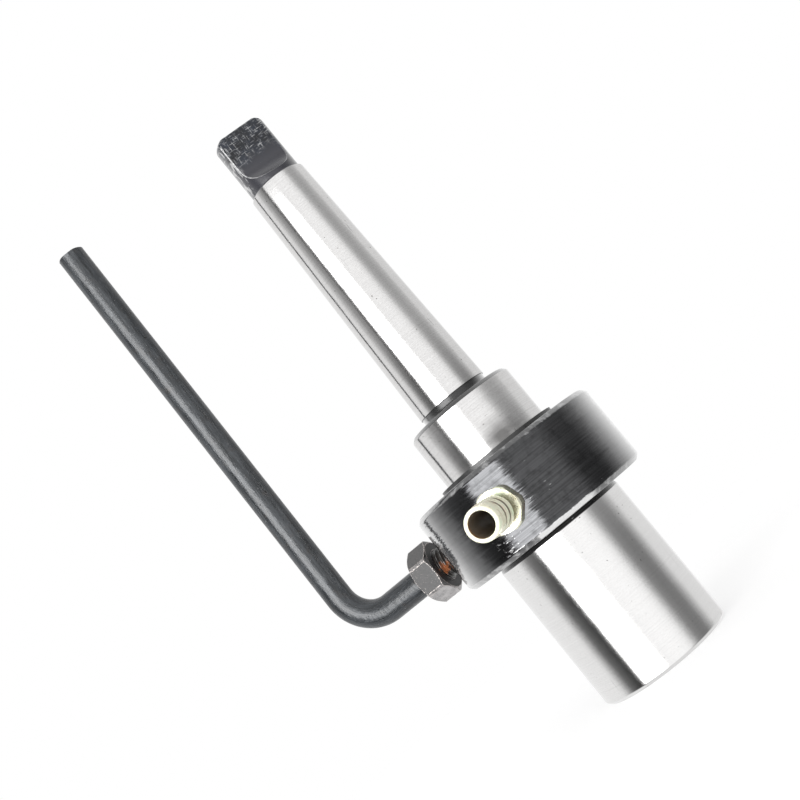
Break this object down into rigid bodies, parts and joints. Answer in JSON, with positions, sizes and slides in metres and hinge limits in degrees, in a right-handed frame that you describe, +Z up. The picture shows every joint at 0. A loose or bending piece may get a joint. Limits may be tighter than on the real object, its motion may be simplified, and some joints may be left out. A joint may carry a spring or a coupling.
{
  "type": "annular cutter arbor",
  "caption": "Taper shank arbor for annular cutters: a bright ground spindle with a cutter socket, a dark coolant ring with a hose barb, and a bent torque arm.",
  "frame": {"origin": "centre of the cutter socket's end face, which the arbor stands on", "axes": "+Z up the spindle axis from the socket to the tang, -Y along the hose barb within 2 degrees, -X towards the torque arm"},
  "size_m": [0.082, 0.0657, 0.1662],
  "materials": {
    "ground_steel": "ground bright on the nose, collar and cone, black oxide elsewhere",
    "black_oxide": "turned, black oxide, semi-gloss",
    "gunmetal_rod": "drawn bar, darkened",
    "zinc_yellow": "zinc plate with pale yellow passivation",
    "nut_steel": "plain steel with worn edges",
    "spring_steel": "phosphated spring steel",
    "seal_rubber": "nitrile, matt"
  },
  "bodies": {
    "arbor": {"arbor_body": "ground_steel", "socket_screw_1": "black_oxide", "socket_screw_2": "black_oxide", "journal_clip": "spring_steel", "plunger_keeper": "spring_steel", "ejector_spring": "spring_steel"},
    "plunger": {"ejector_plunger": "ground_steel"},
    "ring": {"coolant_ring": "black_oxide", "lower_seal": "seal_rubber", "upper_seal": "seal_rubber", "hose_barb": "zinc_yellow", "torque_arm": "gunmetal_rod", "lock_nut": "nut_steel"}
  },
  "joints": [
    {"name": "ring_spin", "type": "hinge", "parent": "arbor", "child": "ring", "pos_m": [0, 0, 0.048], "axis": [0, 0, 1], "continuous": true},
    {"name": "plunger_slide", "type": "slide", "parent": "arbor", "child": "plunger", "axis": [0, 0, 1], "range_m": [0, 0.018], "stiffness_N_per_m": 500, "springref_m": -0.008, "deforming": ["ejector_spring"]}
  ]
}
